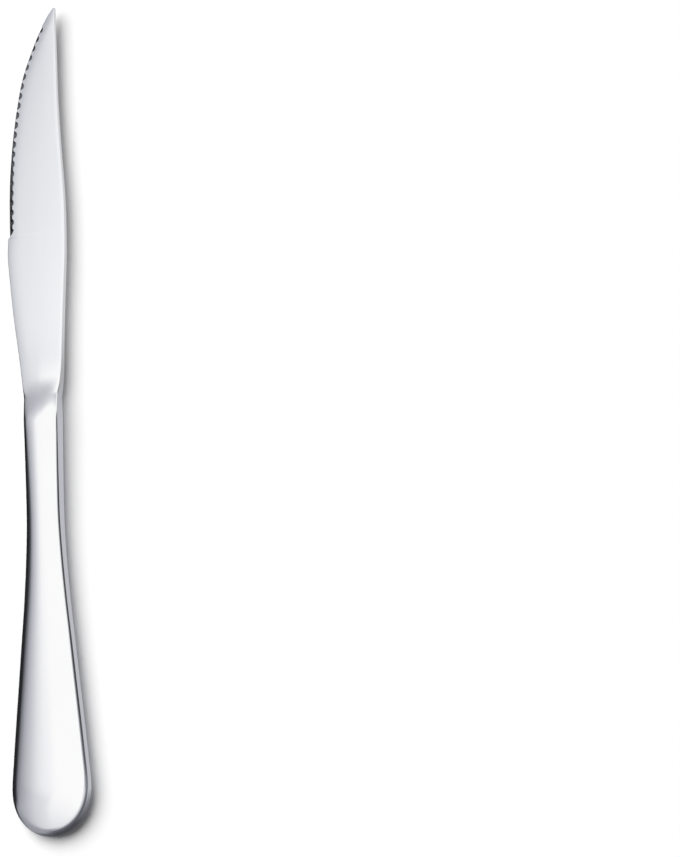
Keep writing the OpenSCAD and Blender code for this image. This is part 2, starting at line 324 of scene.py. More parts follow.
class NodeBook:
    """The node tree of a material or a world, written one node at a time."""

    def __init__(self, owner: bpy.types.ID) -> None:
        """Gives the material or world an empty tree.

        Args:
            owner: The material or world.
        """
        owner.use_nodes = True
        self.owner = owner
        self.tree = owner.node_tree
        self.tree.nodes.clear()

    def node(self, kind: str, settings: dict[str, Any], inputs: dict[Any, Any]) -> Made:
        """Adds one node.

        Args:
            kind: The node's type.
            settings: Its settings, set first. A ramp's stops are given as "stops".
            inputs: Values or wires of its sockets, by name or number.

        Returns:
            The node.
        """
        made = self.tree.nodes.new(kind)
        for name, value in settings.items():
            if name == "stops":
                self._stops(made.color_ramp, value)
            else:
                setattr(made, name, value)
        for key, value in inputs.items():
            socket = socket_of(made.inputs, key)
            if isinstance(value, Wire):
                self.tree.links.new(value.socket, socket)
            else:
                socket.default_value = value
        return Made(self, made)

    @staticmethod
    def _stops(ramp: bpy.types.ColorRamp, stops: Sequence[Row]) -> None:
        """Sets a ramp's stops to greys that are cooler where they are darker.

        Args:
            ramp: The ramp.
            stops: Places and levels of grey.
        """
        while len(ramp.elements) < len(stops):
            ramp.elements.new(0.5)
        for element, (place, level) in zip(ramp.elements, stops):
            cool = COOL_DARKS * (1 - level)
            element.position = place
            element.color = (level * (1 - cool / 5), level, level * (1 + cool), 1)

    def surface(self, kind: str, inputs: dict[str, Any], output: str = "ShaderNodeOutputMaterial") -> None:
        """Ends the tree in one shader of that kind."""
        self.node(output, {}, {"Surface": self.node(kind, {}, inputs).out(0)})

    @cached_property
    def place(self) -> Wire:
        """Object coordinates, in metres."""
        return self.node("ShaderNodeTexCoord", {}, {}).out("Object")

    def axes(self) -> list[Wire]:
        """The three object coordinates apart."""
        parts = self.node("ShaderNodeSeparateXYZ", {}, {0: self.place})
        return [parts.out(axis) for axis in "XYZ"]

    def seen(self) -> Wire:
        """1 for rays that show a surface: the camera's, and those in metal and glass."""
        path = self.node("ShaderNodeLightPath", {}, {})
        return (path.out("Is Camera Ray") + path.out("Is Glossy Ray") + path.out("Is Transmission Ray")).clamped()

    def noise(self, waves: Point, detail: float, rough: float = 0.5) -> Wire:
        """Noise from 0 to 1 about a middle of one half.

        Args:
            waves: Waves per metre along each axis.
            detail: Number of finer layers.
            rough: Strength of the finer layers.

        Returns:
            The noise.
        """
        place = self.node("ShaderNodeVectorMath", {"operation": "MULTIPLY"}, {0: self.place, 1: waves}).out("Vector")
        inputs = {"Vector": place, "Scale": 1.0, "Detail": detail, "Roughness": rough}
        return self.node("ShaderNodeTexNoise", {}, inputs).out("Fac")

    def blend(self, share: Wire, first: Any, second: Any) -> Wire:
        """A colour between two colours, each given as three numbers or a wire."""
        a, b = (side if isinstance(side, Wire) else (*side, 1) for side in (first, second))
        return self.node("ShaderNodeMix", COLOUR_MIX, {"Factor": share, "A": a, "B": b}).out("Result")

    def toned(self, share: Wire, stops: Sequence[Row]) -> Wire:
        """A grey that follows a share through a few stops."""
        return self.node("ShaderNodeValToRGB", {"stops": stops}, {"Fac": share}).out("Color")

    def bump(self, height: Wire, strength: float, depth: float) -> Wire:
        """Normals of a fine relief from 0 to 1, whose full depth is in metres."""
        inputs = {"Height": height, "Strength": strength, "Distance": depth}
        return self.node("ShaderNodeBump", {}, inputs).out("Normal")


class Grain(Enum):
    """Ways to work steel, each as layers of noise: share, waves per metre, detail and roughness."""

    SATIN = ((0.6, (9000, 110, 9000), 2.0, 0.6), (0.4, (1700, 26, 1700), 2.0, 0.5))
    MIRROR = ((0.5, (900, 240, 900), 3.0, 0.62), (0.5, (170, 1300, 170), 2.0, 0.5))
    GROUND = ((1.0, (700, 11000, 700), 2.0, 0.6),)


@dataclass(frozen=True)
class SteelFinish:
    """Stainless steel with its colour, its gloss and its grain."""

    name: str
    grain: Grain
    light: Point
    dark: Point
    roughness: float
    spread: float
    relief: float
    depth: float
    cloud: Point = (55, 34, 55)
    tone_share: float = 0.55
    tone_range: Row = (0.28, 0.72)
    rough_share: float = 0.6

    def looks(self, book: NodeBook) -> tuple[Wire, Wire, Wire]:
        """Colour, roughness and relief of the finish.

        Args:
            book: The tree to write in.

        Returns:
            The three patterns.
        """
        layers = [book.noise(*noise) * share for share, *noise in self.grain.value]
        grain = sum(layers[1:], layers[0])
        cloud = book.noise(self.cloud, 2.0)
        tone = (grain * self.tone_share + cloud * (1 - self.tone_share)).ramped(*self.tone_range)
        rough = grain * self.rough_share + cloud * (1 - self.rough_share)
        rough = (self.roughness - self.spread / 2) + rough * self.spread
        return book.blend(tone, self.dark, self.light), rough, grain

    def material(self, fade: "Fade | None" = None) -> bpy.types.Material:
        """Writes the finish as a material.

        Args:
            fade: Where the finish runs out into another one, if it does.

        Returns:
            The material.
        """
        book = NodeBook(bpy.data.materials.new(self.name))
        colour, rough, relief = self.looks(book)
        if fade is not None:
            colour2, rough2, relief2 = fade.into.looks(book)
            share = book.axes()[1].ramped(fade.start, fade.end)
            colour = book.blend(share, colour2, colour)
            rough = rough2 + (rough - rough2) * share
            relief2 = relief2 * fade.relief
            relief = relief2 + (relief - relief2) * share
        book.surface("ShaderNodeBsdfPrincipled", {
            "Base Color": colour,
            "Metallic": 1.0,
            "Roughness": rough,
            "Normal": book.bump(relief, self.relief, self.depth),
        })
        return book.owner


@dataclass(frozen=True)
class Fade:
    """A stretch along the knife, in metres, over which a finish takes over from another."""

    into: SteelFinish
    start: float
    end: float
    relief: float = 0.3


@dataclass(frozen=True)
class CementFinish:
    """Set bonding cement: a pale, pitted mortar."""

    name: str = "set_cement"
    pale: Point = (0.66, 0.64, 0.6)
    deep: Point = (0.5, 0.48, 0.44)
    tone_range: Row = (0.3, 0.7)
    roughness: float = 0.84
    spread: float = 0.12
    relief: float = 0.6
    depth: float = 0.0002

    def material(self) -> bpy.types.Material:
        """Writes the finish as a material.

        Returns:
            The material.
        """
        book = NodeBook(bpy.data.materials.new(self.name))
        lumps = book.noise((420, 420, 420), 4.0, 0.6)
        grit = book.noise((3200, 3200, 3200), 2.0)
        tone = (lumps * 0.7 + grit * 0.3).ramped(*self.tone_range)
        book.surface("ShaderNodeBsdfPrincipled", {
            "Base Color": book.blend(tone, self.deep, self.pale),
            "Roughness": self.roughness + lumps * self.spread,
            "Normal": book.bump(lumps * 0.6 + grit * 0.4, self.relief, self.depth),
        })
        return book.owner


SATIN = SteelFinish("satin_blade", Grain.SATIN, (0.965, 0.968, 0.98), (0.93, 0.935, 0.95), 0.22, 0.05, 0.08, 2e-6)
POLISH = SteelFinish("polished_handle", Grain.MIRROR, (0.965, 0.965, 0.97), (0.94, 0.94, 0.948), 0.1, 0.03, 0.04, 2e-6)
# Ground finish: darker ground steel, with painted dark reflection added in its base colour.
GROUND = SteelFinish("ground_edge_painted_dark_reflection", Grain.GROUND, (0.48, 0.48, 0.49), (0.33, 0.33, 0.34), 0.16, 0.08, 0.2, 3e-6)


# ---- sub-assemblies


@dataclass
class Handle:
    """The hollow handle, whose two pressed half shells meet on the middle plane.

    Lengths are in millimetres. The handle's mouth is at 0 and its butt lies along -Y.
    """

    length: float = 123.2
    butt_end: float = 13.4
    neck_w: float = 10.0
    butt_w: float = 22.1
    neck_t: float = 6.8
    butt_t: float = 5.7
    neck_crown: float = 0.58
    butt_crown: float = 0.8
    neck_round: float = 0.7
    butt_round: float = 1.9
    mouth_len: float = 8.0
    mouth_fall: float = 1.0
    mouth_skew: float = 0.36
    ramp_len: float = 6.0
    swell_len: float = 24.0
    swell_share: float = 0.6
    blade_half: float = 1.01
    wall_t: float = 0.8
    crown_power: float = 2.5
    butt_power: float = 2.1
    side_steps: int = 96
    side_power: float = 1.35
    butt_steps: int = 72
    crease: float = 32.0
    edge: Edge = field(default_factory=lambda: Edge(8, 18))
    swell: Rows = (
        (0, 0), (0.2, -0.005), (0.29, 0.012), (0.38, 0.103), (0.47, 0.24), (0.56, 0.412), (0.65, 0.58),
        (0.74, 0.752), (0.83, 0.914))
    slim: Rows = ((0, 0), (0.12, 0.28), (0.25, 0.6), (0.45, 0.93), (0.8, 1), (1, 1))
    soft: Rows = ((0, 0), (0.09, 0.5), (0.25, 0.8), (0.45, 0.96), (0.8, 1), (1, 1))

    def __post_init__(self) -> None:
        """Draws the lines that the sections read."""
        body = line_of(self.swell, self.length, self.neck_w / 2, self.butt_w / 2)
        butt = self.length - self.butt_end
        mirrored = (2 * butt - body[-1][0], body[-1][1])
        self.side_line = SmoothLine((*body, (butt, self.butt_w / 2), mirrored))
        self.slim_line = SmoothLine(self.slim)
        self.soft_line = SmoothLine(self.soft)
        self.butt_y = -butt

    def swollen(self, place: float) -> float:
        """Share by which the section is still the neck's: 1 at the mouth, 0 past the ramp."""
        return mix(ebb(place, self.ramp_len), ebb(place, self.swell_len), self.swell_share)

    def top(self, y: float, x: float = 0.0) -> float:
        """Height of the face, which falls towards the blade along a slightly slanted ramp.

        Args:
            y: Place along the handle.
            x: Place across it.

        Returns:
            The height over the middle plane.
        """
        place = y - self.mouth_skew * x
        if place > 0:
            return mix(self.blade_half, self.top(0), self.swollen(place))
        body = mix(self.neck_t, self.butt_t, self.slim_line.at(max(-y, 0) / self.length)) / 2
        return body - self.mouth_fall * ebb(-place, self.mouth_len)

    def section(self, rim: Vector, inward: Vector, axis: Vector) -> Section:
        """Points from the seam up the wall, round the edge and over the face to the axis.

        Args:
            rim: Point of the outline.
            inward: Direction from it into the handle.
            axis: Point of the axis where the section ends.

        Returns:
            The section's points.
        """
        way = -rim.y / self.length
        crown = mix(self.neck_crown, self.butt_crown, self.slim_line.at(way))
        radius = mix(self.neck_round, self.butt_round, self.soft_line.at(way))
        bend = self.edge.bend((axis - rim).length, self.top(rim.y), crown, radius, self.crown_power)
        points = [(rim.x, rim.y, 0.0)]
        points += [(*(rim + inward * inset), height) for inset, height in bend]
        turned = rim + inward * bend[-1][0]
        for share in spaced(0, 1, self.edge.face_steps)[1:]:
            place = turned.lerp(axis, share)
            points.append((*place, self.top(place.y) - crown * (1 - share) ** self.crown_power))
        return [(x, y, z * self.top(y, x) / self.top(y)) for x, y, z in points]

    def side_section(self, side: int, y: float) -> Section:
        """Section across one side of the handle."""
        rim = Vector((side * self.side_line.at(-y), y))
        return self.section(rim, Vector((-side, 0)), Vector((0, y)))

    def butt_section(self, turn: float) -> Section:
        """Section across the butt's rounded end.

        Args:
            turn: Direction in radians, from the left side round to the right.

        Returns:
            The section's points.
        """
        side, power = -math.copysign(1, math.cos(turn)), 2 / self.butt_power
        across, down, half_w = abs(math.cos(turn)), math.sin(turn), self.butt_w / 2
        rim = Vector((side * half_w * across ** power, self.butt_y - self.butt_end * down ** power))
        pull = Vector((-side * across ** (2 - power) / half_w, down ** (2 - power) / self.butt_end))
        return self.section(rim, pull.normalized(), Vector((0, self.butt_y)))

    def sections(self) -> list[Section]:
        """Sections all round: down the left side, round the butt and up the right side.

        Returns:
            The sections.
        """
        places = [self.butt_y * share ** self.side_power for share in spaced(0, 1, self.side_steps)]
        left = [self.side_section(-1, y) for y in places]
        butt = [self.butt_section(turn) for turn in spaced(0, math.pi, self.butt_steps)[1:-1]]
        return left + butt + [self.side_section(1, y) for y in reversed(places)]

    def sheet(self) -> Sheet:
        """One pressed half shell with its wall, over the middle plane.

        Returns:
            The form.
        """
        sheet = Sheet(self.sections())
        sheet.weld()
        sheet.wall(self.wall_t)
        sheet.smooth(self.crease)
        return sheet


@dataclass
class Teeth:
    """Scallops ground into the front of the edge, and the plain bevel that they sit in."""

    pitch: float = 2.8
    heel_w: float = 2.7
    tip_w: float = 2.1
    heel_reach: float = 1.4
    tip_reach: float = 0.85
    least_reach: float = 0.02
    bowl_power: int = 3
    lip: float = 0.06
    tip_plain: float = 4.4
    land_heel: float = 0.97
    land_tip: float = 0.1
    land_from: float = 0.22
    land_to: float = 0.52
    heel_slant: float = 2.0
    slant_power: float = 0.6
    steps: int = 14

    def count(self, run: float) -> int:
        """Number of scallops on a toothed edge of that length."""
        return int((run - self.tip_plain) / self.pitch)

    def inset(self, place: float, run: float) -> float:
        """How far the bevel reaches in from the edge on the front face.

        Args:
            place: Distance along the edge from the heel.
            run: Length of the toothed edge.

        Returns:
            The bevel's width in millimetres.
        """
        last = self.count(run) - 1
        k = int(clamp(place // self.pitch, 0, last))
        offset = place - self.pitch * (k + 0.5)
        half_w = mix(self.heel_w, self.tip_w, k / last) / 2
        bowl = mix(self.heel_reach, self.tip_reach, k / last) * (1 - abs(offset / half_w) ** self.bowl_power)
        ground_and_dark_reflection = (place / run - self.land_from) / (self.land_to - self.land_from)
        land = mix(self.land_heel, self.land_tip, eased(ground_and_dark_reflection))
        return max(max(land, bowl) * clamp(place / self.heel_slant) ** self.slant_power, self.least_reach)


@dataclass
class Blade:
    """The forging: ground blade, ramp to the neck, spigot and notched tang in one skin.

    Lengths are in millimetres. The handle's mouth is at 0 and the tip lies along +Y.
    """

    handle: Handle
    length: float = 111.68
    spine_rise: float = 7.8
    heel_drop: float = 9.0
    tip_rise: float = 6.3
    tip_round: float = 0.4
    tip_turn: float = 135.0
    spine_t: float = 2.6
    tip_t: float = 1.1
    heel_t: float = 0.8
    heel_step: float = 0.6
    widest: float = 0.373
    even_land: float = 1.0
    skew_len: float = 14.0
    edge_break: float = 0.16
    spine_break: float = 0.35
    break_w: float = 0.4
    break_t: float = 0.75
    roll_w: float = 2.8
    roll_h: float = 0.14
    roll_most: float = 0.4
    roll_full_w: float = 4.0
    bulge: float = 0.12
    bevel_most: float = 0.45
    face_power: float = 1.3
    spigot_len: float = 3.0
    spigot_skin: float = 0.95
    spigot_round: float = 0.4
    tang_len: float = 46.0
    tang_w: float = 5.2
    tang_t: float = 2.2
    tang_least: float = 0.02
    notch_r: float = 1.0
    notch_pitch: float = 9.0
    run_steps: int = 300
    ramp_rings: int = 60
    ramp_power: float = 1.5
    heel_rings: int = 24
    step_rings: int = 6
    end_rings: int = 14
    notch_rings: int = 16
    tip_rings: int = 7
    crease: float = 24.0
    teeth: Teeth = field(default_factory=Teeth)
    edge: Edge = field(default_factory=lambda: Edge(7, 9))
    heel: Rows = (
        (0, 0), (0.067, 0.18), (0.143, 0.431), (0.22, 0.682), (0.297, 0.862), (0.373, 1), (0.417, 0.94))
    cutting: Rows = (
        (0.422, 1), (0.49, 0.996), (0.57, 0.973), (0.66, 0.908), (0.75, 0.805), (0.83, 0.672),
        (0.913, 0.432), (0.953, 0.284), (0.984, 0.138))
    rise: Rows = (
        (0, 0), (0.03, 0.2), (0.066, 0.347), (0.143, 0.482), (0.256, 0.71), (0.36, 0.938), (0.448, 1))
    fall: Rows = ((0.511, 0.064), (0.58, 0.3), (0.66, 0.62), (0.765, 0.9), (0.88, 0.97))

    def __post_init__(self) -> None:
        """Draws the outline and measures the toothed edge."""
        self.tip = Vector((self.tip_rise - self.tip_round, self.length - self.tip_round))
        last = math.radians(self.tip_turn)
        arc = (self.tip.y + self.tip_round * math.sin(last), self.tip.x + self.tip_round * math.cos(last))
        neck_r = self.handle.neck_w / 2
        self.heel_line = SmoothLine(tuple(line_of(self.heel, self.length, -neck_r, -self.heel_drop)))
        cut = line_of(self.cutting, self.length, self.tip_rise, self.heel_step - self.heel_drop)
        self.cut_line = SmoothLine((*cut, arc))
        up = line_of(self.rise, self.length, neck_r, self.spine_rise)
        down = line_of(self.fall, self.length, self.spine_rise, self.tip_rise)
        self.spine_line = SmoothLine((*up, *down, (self.tip.y, self.tip_rise)))
        self.heel_end = self.heel[-1][0] * self.length
        self.cut_start, self.cut_end = cut[0][0], arc[0]
        self.even_end = self.handle.swell_len + self.even_land
        self.tang_end = self.tang_len - self.tang_w / 2
        self.notches = int((self.tang_end - self.spigot_len - self.notch_pitch / 2) / self.notch_pitch)
        self.taper = (self.spine_t - self.tip_t) / self.length
        widest_t = self.spine_t - self.taper * self.widest * self.length
        self.grind = (widest_t - self.heel_t) / (self.spine_rise + self.heel_drop)
        walk = [(0.0, self.cut_start)]
        for y in spaced(self.cut_start, self.cut_end, self.run_steps)[1:]:
            walked, before = walk[-1]
            walk.append((walked + math.hypot(self.cut_line.at(y) - self.cut_line.at(before), y - before), y))
        self.run, self.run_line = walk[-1][0], SmoothLine(tuple(walk))

    def thick(self, x: float, y: float) -> float:
        """Thickness of the blade at a place."""
        return self.spine_t - self.taper * y - self.grind * (self.spine_rise - x)

    def edge_x(self, y: float) -> float:
        """Place of the cutting side.

        Args:
            y: Place along the blade.

        Returns:
            The place across it.
        """
        if y <= self.heel_end:
            return self.heel_line.at(y)
        if y < self.cut_start:
            share = eased((y - self.heel_end) / (self.cut_start - self.heel_end))
            return mix(self.heel_line.at(self.heel_end), self.cut_line.at(self.cut_start), share)
        return self.cut_line.at(y) if y <= self.cut_end else self.tip.x - chord(self.tip_round, y - self.tip.y)

    def spine_x(self, y: float) -> float:
        """Place of the spine."""
        return self.spine_line.at(y) if y <= self.tip.y else self.tip.x + chord(self.tip_round, y - self.tip.y)

    def ramp_top(self, y: float, place: float) -> float:
        """Half thickness of a ring for its place on the slanted ramp."""
        return mix(self.thick(0, y) / 2, self.handle.top(min(place, 0)), self.handle.swollen(place))

    def ring(self, left: Section, front: Section, right: Section) -> Section:
        """A closed ring from the back of the cutting side over the front and round again.

        Args:
            left: Points up the cutting side, from the back to the front.
            front: Points over the front face between the two sides.
            right: Points down the spine's side, from the front to the back.

        Returns:
            The ring, whose last point is its first.
        """
        if front[0][1] < self.even_end:
            back = [(x, y, -z) for x, y, z in reversed(front)]
        else:
            start, end = Vector(right[-1]), Vector(left[0])
            back = [tuple(start.lerp(end, share)) for share in spaced(0, 1, len(front) + 1)[1:-1]]
        return [*left, *front, *right, *back, left[0]]

    def rolled(self, ring: Iterable[Point], edge: float, spine: float, amount: float) -> Section:
        """Bulges the front a little and rolls it off towards the cutting side, as the satin belt does.

        Args:
            ring: The points of the ring.
            edge: Place of the cutting side.
            spine: Place of the spine.
            amount: Share of the full roll.

        Returns:
            The ring with its rolled front.
        """
        moved = []
        for x, y, z in ring:
            across = clamp((x - edge) / (spine - edge))
            loss = self.roll_h * (1 - clamp((x - edge) / self.roll_w)) ** 2 - 4 * self.bulge * across * (1 - across)
            moved.append((x, y, z - min(amount * loss, self.roll_most * z) if z > 0 else z))
        return moved

    def even_ring(self, y: float, skin: float = 0.0) -> Section:
        """Ring of the ramp, the heel and the spigot, where the front and the back are alike.

        Args:
            y: Place of the ring.
            skin: Distance of the spigot under the neck's surface, or 0.

        Returns:
            The ring.
        """
        full = self.handle.swollen(y)
        form = eased(full)
        power = mix(1, self.handle.crown_power, form)
        top = self.ramp_top(y, y)
        slant = self.handle.mouth_skew * ebb(y, self.skew_len)
        edge, spine = self.edge_x(y), self.spine_x(y)
        halves = []
        for side, x, rounded in ((-1, edge, self.edge_break), (1, spine, self.spine_break)):
            wide = abs(x) - skin
            radius = self.spigot_round if skin else mix(rounded, self.handle.neck_round, form ** 3)
            crown = mix((self.thick(0, y) - self.thick(x, y)) / 2, self.handle.neck_crown, form)
            bend = self.edge.bend(wide, top - skin, crown, radius, power)
            half = [(side * (wide - inset), y, height) for inset, height in bend]
            for share in spaced(0, 1, self.edge.face_steps)[1:]:
                height = top - skin - crown * (1 - share) ** power
                half.append((side * (wide - bend[-1][0]) * (1 - share), y, height))
            halves.append([(x, y, z * self.ramp_top(y, y - slant * x) / top) for x, y, z in half])
        (left, left_face), (right, right_face) = (
            (half[:self.edge.count], half[self.edge.count:]) for half in halves)
        left_path = [(px, py, -pz) for px, py, pz in reversed(left)] + left
        right_path = right[::-1] + [(px, py, -pz) for px, py, pz in right]
        return self.rolled(self.ring(left_path, left_face + right_face[-2::-1], right_path), edge, spine, 1 - full)

    def cutting_ring(self, y: float, distance: float) -> Section:
        """Ring through the toothed edge.

        Args:
            y: Place of the ring.
            distance: Distance of the ring along the toothed edge.

        Returns:
            The ring.
        """
        edge = Vector((self.edge_x(y), y))
        inward = self.tip - edge
        if y < self.cut_end:
            step = 0.02
            inward = Vector((2 * step, self.edge_x(y - step) - self.edge_x(min(y + step, self.cut_end))))
        spine = self.spine_x(y)
        wide = spine - edge.x
        brow = edge + inward.normalized() * min(self.teeth.inset(distance, self.run), self.bevel_most * wide)
        low = -self.thick(edge.x, y) / 2
        foot, lip = Vector((*edge, low)), Vector((*edge, low + self.teeth.lip))
        amount = clamp(wide / self.roll_full_w)
        flat_brow = Vector((*brow, self.thick(brow.x, brow.y) / 2))
        rolled_brow = Vector(self.rolled([flat_brow], edge.x, spine, amount)[0])
        n = self.edge.count
        left = [tuple(foot.lerp(lip, share)) for share in spaced(0, 1, n - 1)]
        left += [tuple(lip.lerp(rolled_brow, share)) for share in spaced(0, 1, n)[1:]]
        half_t = self.thick(spine, y) / 2
        radius = min(self.spine_break, self.break_w * wide, self.break_t * half_t)
        turns = spaced(0, math.pi / 2, n - 1)
        down = [(spine - radius * (1 - math.sin(t)), y, half_t - radius * (1 - math.cos(t))) for t in turns]
        right = down + [(x, py, -z) for x, py, z in reversed(down)]
        shares = [share ** self.face_power for share in spaced(0, 1, 2 * self.edge.face_steps)[1:-1]]
        front = [tuple(flat_brow.lerp(Vector(down[0]), share)) for share in shares]
        front, right = (self.rolled(part, edge.x, spine, amount) for part in (front, right))
        return self.ring(left, front, right)

    def notch_y(self, k: int) -> float:
        """Place of one of the tang's notches, which take turns on the right and the left."""
        return -self.spigot_len - self.notch_pitch * (k + 0.5)

    def tang_ring(self, y: float) -> Section:
        """Ring of the tang, with its staggered round notches and its round end.

        Args:
            y: Place of the ring.

        Returns:
            The ring.
        """
        half = self.tang_w / 2
        if -y > self.tang_end:
            half = max(chord(half, y + self.tang_end), self.tang_least)
        bites = [0.0, 0.0]
        for k in range(self.notches):
            bites[(k + 1) % 2] = max(bites[(k + 1) % 2], chord(self.notch_r, y - self.notch_y(k)))
        start, end = bites[0] - half, half - bites[1]
        top = self.tang_t / 2
        heights = spaced(-top, top, 2 * self.edge.count - 1)
        front = [(x, y, top) for x in spaced(start, end, 2 * self.edge.face_steps)[1:-1]]
        return self.ring([(start, y, z) for z in heights], front, [(end, y, z) for z in reversed(heights)])

    def tang_places(self) -> list[float]:
        """Places of the tang's rings, close together at its end and at its notches.

        Returns:
            The places, from the tang's end to the spigot.
        """
        turns = spaced(0, math.pi / 2, self.end_rings)
        places = [-(self.tang_end + self.tang_w / 2 * math.cos(turn)) for turn in turns]
        for k in reversed(range(self.notches)):
            turns = spaced(0, math.pi, self.notch_rings)
            places += [self.notch_y(k) - self.notch_r * math.cos(turn) for turn in turns]
        return places + [-self.spigot_len]

    def rings(self) -> list[Section]:
        """All rings of the forging.

        Returns:
            The rings, from the tang's end to the tip.
        """
        rings = [self.tang_ring(y) for y in self.tang_places()]
        spigot = self.even_ring(0.0, self.spigot_skin)
        rings += [[(x, y, z) for x, _, z in spigot] for y in (-self.spigot_len, 0.0)]
        places = [self.even_end * share ** self.ramp_power for share in spaced(0, 1, self.ramp_rings)]
        places += spaced(self.even_end, self.heel_end, self.heel_rings)[1:]
        places += spaced(self.heel_end, self.cut_start, self.step_rings)[1:-1]
        rings += [self.even_ring(y) for y in places]
        count = self.teeth.count(self.run)
        distances = spaced(0, self.teeth.pitch * count, self.teeth.steps * count)
        distances += spaced(distances[-1], self.run, self.end_rings)[1:]
        rings += [self.cutting_ring(self.run_line.at(distance), distance) for distance in distances]
        shares = [math.sin(turn) for turn in spaced(0, math.pi / 2, self.tip_rings)[1:-1]]
        return rings + [self.cutting_ring(mix(self.cut_end, self.length, share), self.run) for share in shares]

    def sheet(self) -> Sheet:
        """The whole forging as one closed skin.

        Returns:
            The form.
        """
        sheet = Sheet(self.rings())
        sheet.weld()
        sheet.cap()
        sheet.smooth(self.crease)
        return sheet


@dataclass
class Knife:
    """The whole knife: its pieces in their places and in their finishes."""

    body: str = "root"
    polish_end: float = 0.004
    satin_start: float = 0.012
    ground_lean: float = 0.3
    ground_up: float = 0.2

    def __post_init__(self) -> None:
        """Sets the sub-assemblies and the place of the mouth."""
        self.handle = Handle()
        self.blade = Blade(self.handle)
        along = (self.handle.length - self.blade.length) / 2
        self.lift = Vector((0, along, self.handle.neck_t / 2)) * MM

    def settle(self, sheet: Sheet, name: str, node: str, slot: str, *finishes: bpy.types.Material) -> bpy.types.Object:
        """Puts a piece in its place, where it stands for a node of the frame.

        Args:
            sheet: The piece's form.
            name: Its name.
            node: The node that it replaces.
            slot: Not used.
            finishes: Its materials.

        Returns:
            The piece.
        """
        piece = sheet.piece(name)
        piece.data.transform(Matrix.Translation(self.lift))
        for finish in finishes:
            piece.data.materials.append(finish)
        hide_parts(node)
        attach(piece, self.body)
        LOG.info("%s: %d faces", name, len(piece.data.polygons))
        return piece

    def build_handle(self) -> None:
        """Makes the two polished shells."""
        polish = POLISH.material()
        front, back = self.handle.sheet(), self.handle.sheet()
        back.flip()
        for sheet, node in ((front, "handle_front_shell"), (back, "handle_back_shell")):
            self.settle(sheet, f"polished_{node}", node, POLISH.name, polish)

    def build_blade(self) -> None:
        """Makes the satin forging, and gives the scallops and the plain bevel their ground finish, whose dark colour
        is partly painted dark reflection.
        """
        satin = SATIN.material(Fade(POLISH, self.lift.y + self.polish_end, self.lift.y + self.satin_start))
        sheet, ground_and_dark_reflection = self.blade.sheet(), GROUND.material()
        forging = self.settle(sheet, "satin_blade_forging", "blade", SATIN.name, satin, ground_and_dark_reflection)
        start = self.blade.cut_start * MM + self.lift.y
        # Scallop and bevel faces get the ground finish with its painted dark reflection.
        for face in forging.data.polygons:
            leans = face.normal.x < 0 and face.normal.xy.length > self.ground_lean
            if face.center.y > start and leans and face.normal.z > self.ground_up:
                face.material_index = 1

    def dress_cement(self) -> None:
        """Gives the cement inside the handle its finish."""
        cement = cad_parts["tang_cement"]
        cement.data.materials.clear()
        cement.data.materials.append(CementFinish().material())
        LOG.info("tang_cement: dressed")


